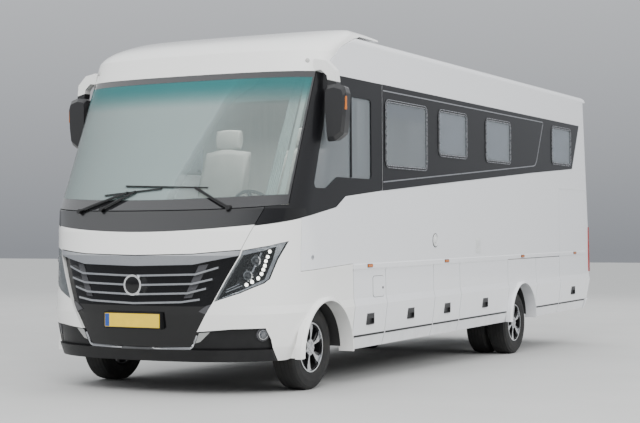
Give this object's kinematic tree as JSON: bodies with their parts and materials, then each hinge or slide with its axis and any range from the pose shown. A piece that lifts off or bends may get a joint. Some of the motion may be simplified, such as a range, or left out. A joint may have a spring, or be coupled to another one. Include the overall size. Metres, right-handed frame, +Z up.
{
  "type": "motorhome",
  "caption": "Long coach-built motorhome with a raked one-piece windscreen, dark window band, side lockers, rear garage doors, steered front wheels and twin rear wheels.",
  "frame": {"origin": "on the ground at the centre of the bounding box", "axes": "+Y towards the tail, so the nose faces -Y; +X towards the left side; +Z up"},
  "size_m": [2.8036, 8.6902, 3.2076],
  "materials": {
    "white_paint": "gloss white moulding",
    "white_side": "gloss white sheet",
    "black_gloss": "gloss anthracite",
    "clear_glass": "tinted glazing",
    "grey_frame": "satin frame",
    "roof_light": "satin dome",
    "dark_plastic": "fine grain",
    "red_lens": "lamp lens",
    "chrome_trim": "bright",
    "lamp_black": "lamp interior",
    "step_metal": "ribbed tread",
    "liner_grey": "smooth liner",
    "black_liner": "arch liner",
    "floor_wood": "laid boards",
    "dash_grey": "grained fascia",
    "seat_leather": "stitched",
    "cabin_white": "satin panel",
    "chassis_steel": "coated steel",
    "cast_block": "as cast",
    "tyre_rubber": "tread rubber",
    "alloy": "diamond cut alloy"
  },
  "bodies": {
    "root": {"bumper": "dark_plastic", "cab_seats": "seat_leather", "cab_sides": "black_gloss", "chassis_frame": "chassis_steel", "dashboard": "dash_grey", "engine": "cast_block", "floor": "floor_wood", "front_axle": "cast_block", "front_cap": "white_paint", "front_mask": "white_paint", "fuel_tank": "dark_plastic", "garage_room": "liner_grey", "grille_bars": "chrome_trim", "grille_surround": "black_gloss", "headlamp_housings": "lamp_black", "headlamp_lenses": "clear_glass", "leaf_springs": "chassis_steel", "locker_boxes": "liner_grey", "mirrors": "dark_plastic", "partition": "cabin_white", "propshaft": "chassis_steel", "rear_axle": "cast_block", "rear_bumper": "dark_plastic", "rear_wall": "white_paint", "roof": "white_side", "roof_lights": "roof_light", "service_flap": "white_paint", "side_glass": "clear_glass", "side_wall_left": "white_side", "side_wall_right": "white_side", "skirt_left": "white_side", "skirt_right": "white_side", "steering_wheel": "dark_plastic", "tail_lamps": "red_lens", "wheel_housings": "black_liner", "window_bands": "black_gloss", "window_frames": "grey_frame", "windscreen": "clear_glass", "wipers": "dark_plastic"},
    "knuckle_left": {"knuckle_left": "cast_block"},
    "knuckle_right": {"knuckle_right": "cast_block"},
    "tie_rod": {"tie_rod": "chassis_steel"},
    "wheel_front_left": {"tyre_front_left": "tyre_rubber", "rim_front_left": "alloy"},
    "wheel_front_right": {"tyre_front_right": "tyre_rubber", "rim_front_right": "alloy"},
    "wheels_rear_left": {"tyres_rear_left": "tyre_rubber", "rims_rear_left": "alloy"},
    "wheels_rear_right": {"tyres_rear_right": "tyre_rubber", "rims_rear_right": "alloy"},
    "entry_door": {"entry_door": "white_side"},
    "entry_step": {"entry_step": "step_metal"},
    "garage_door_left": {"garage_door_left": "white_side"},
    "garage_door_right": {"garage_door_right": "white_side"},
    "locker_left_1": {"locker_left_1": "white_side"},
    "locker_left_2": {"locker_left_2": "white_side"},
    "locker_left_3": {"locker_left_3": "white_side"},
    "locker_left_4": {"locker_left_4": "white_side"},
    "locker_right_1": {"locker_right_1": "white_side"},
    "locker_right_2": {"locker_right_2": "white_side"}
  },
  "joints": [
    {"name": "steer_left", "type": "hinge", "parent": "root", "child": "knuckle_left", "pos_m": [0.872, -3.24998, 0.35], "axis": [0, 0, 1], "range_deg": [-33, 33]},
    {"name": "steer_right", "type": "hinge", "parent": "root", "child": "knuckle_right", "pos_m": [-0.872, -3.24998, 0.35], "axis": [0, 0, 1], "range_deg": [-33, 33]},
    {"name": "tie_rod_swing", "type": "hinge", "parent": "knuckle_left", "child": "tie_rod", "pos_m": [0.872, -3.11998, 0.256], "axis": [0, 0, 1], "range_deg": [-33, 33]},
    {"name": "roll_front_left", "type": "hinge", "parent": "knuckle_left", "child": "wheel_front_left", "pos_m": [0.948, -3.24998, 0.35], "axis": [1, 0, 0], "continuous": true},
    {"name": "roll_rear_left", "type": "hinge", "parent": "root", "child": "wheels_rear_left", "pos_m": [1, 1.61002, 0.35], "axis": [1, 0, 0], "continuous": true},
    {"name": "roll_front_right", "type": "hinge", "parent": "knuckle_right", "child": "wheel_front_right", "pos_m": [-0.948, -3.24998, 0.35], "axis": [1, 0, 0], "continuous": true},
    {"name": "roll_rear_right", "type": "hinge", "parent": "root", "child": "wheels_rear_right", "pos_m": [-1, 1.61002, 0.35], "axis": [1, 0, 0], "continuous": true},
    {"name": "locker_left_1_lift", "type": "hinge", "parent": "root", "child": "locker_left_1", "pos_m": [1.182, -2.41147, 0.99623], "axis": [0, -0.9998, -0.0197], "range_deg": [0, 95]},
    {"name": "locker_left_2_lift", "type": "hinge", "parent": "root", "child": "locker_left_2", "pos_m": [1.182, -1.52464, 1.01372], "axis": [0, -0.9998, -0.0197], "range_deg": [0, 95]},
    {"name": "locker_left_3_lift", "type": "hinge", "parent": "root", "child": "locker_left_3", "pos_m": [1.182, -0.62481, 1.03147], "axis": [0, -0.9998, -0.0197], "range_deg": [0, 95]},
    {"name": "locker_left_4_lift", "type": "hinge", "parent": "root", "child": "locker_left_4", "pos_m": [1.182, 0.43498, 1.05238], "axis": [0, -0.9998, -0.0197], "range_deg": [0, 95]},
    {"name": "locker_right_1_lift", "type": "hinge", "parent": "root", "child": "locker_right_1", "pos_m": [-1.182, -2.2565, 0.99929], "axis": [0, 0.9998, 0.0197], "range_deg": [0, 95]},
    {"name": "locker_right_2_lift", "type": "hinge", "parent": "root", "child": "locker_right_2", "pos_m": [-1.182, 0.58995, 1.05543], "axis": [0, 0.9998, 0.0197], "range_deg": [0, 95]},
    {"name": "garage_left_lift", "type": "hinge", "parent": "root", "child": "garage_door_left", "pos_m": [1.182, 3.52301, 1.94345], "axis": [0, -0.9998, -0.0197], "range_deg": [0, 95]},
    {"name": "garage_right_lift", "type": "hinge", "parent": "root", "child": "garage_door_right", "pos_m": [-1.182, 3.52301, 1.94345], "axis": [0, 0.9998, 0.0197], "range_deg": [0, 95]},
    {"name": "entry_door_swing", "type": "hinge", "parent": "root", "child": "entry_door", "pos_m": [-1.2, -1.16, 1.4415], "axis": [0, -0.0197, 0.9998], "range_deg": [0, 95]},
    {"name": "entry_step_slide", "type": "slide", "parent": "root", "child": "entry_step", "axis": [-1, 0, 0], "range_m": [0, 0.26]}
  ],
  "couplings": [
    {"joint": "steer_right", "follows": "steer_left", "ratio": 1},
    {"joint": "tie_rod_swing", "follows": "steer_left", "ratio": -1}
  ]
}
